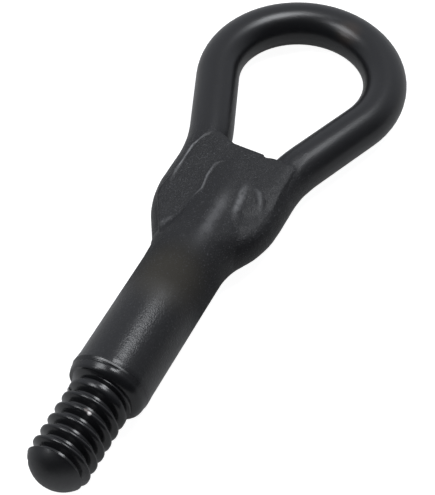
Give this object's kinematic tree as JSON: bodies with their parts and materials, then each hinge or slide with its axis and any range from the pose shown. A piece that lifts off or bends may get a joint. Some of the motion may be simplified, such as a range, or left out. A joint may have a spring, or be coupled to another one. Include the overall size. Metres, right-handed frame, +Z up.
{
  "type": "tow eye",
  "caption": "Screw-in tow eye: a forged bar loop on a flat collar, a plain round shank and a coarse left-hand thread with a domed tip, for pulling a car by rope or shackle.",
  "frame": {"origin": "on the shank's axis at the rim of the shoulder that stops the thread", "axes": "+X along the shank towards the eye, +Y across the eye, +Z up, square to the plane of the eye; the part lies flat"},
  "size_m": [0.1701, 0.0582, 0.0204],
  "materials": {
    "coated_steel": "satin"
  },
  "bodies": {
    "root": {"tow_eye": "coated_steel"}
  },
  "joints": []
}
